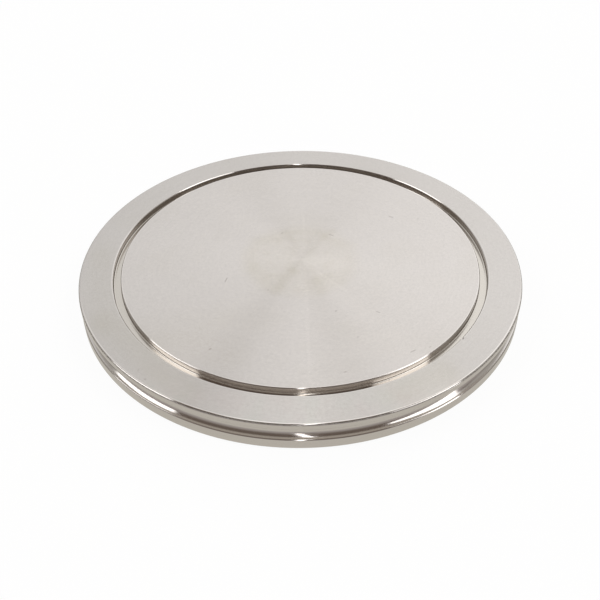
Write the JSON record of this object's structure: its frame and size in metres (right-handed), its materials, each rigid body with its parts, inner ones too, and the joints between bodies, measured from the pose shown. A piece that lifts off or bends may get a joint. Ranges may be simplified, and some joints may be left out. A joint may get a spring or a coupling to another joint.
{
  "type": "vacuum end flange",
  "caption": "Round stainless blank flange that closes a vacuum port, with a half-round clamp groove in the rim and a centring groove in the sealing face.",
  "frame": {"origin": "centre of the flat back face, on the turning axis", "axes": "+Z along the turning axis, out of the sealing face; X and Y are any two radii at right angles"},
  "size_m": [0.18, 0.18, 0.012],
  "materials": {
    "turned_stainless": "fine turned stainless steel, satin on the face, brighter in the grooves and on the rim"
  },
  "bodies": {
    "root": {"blank_flange": "turned_stainless"}
  },
  "joints": []
}
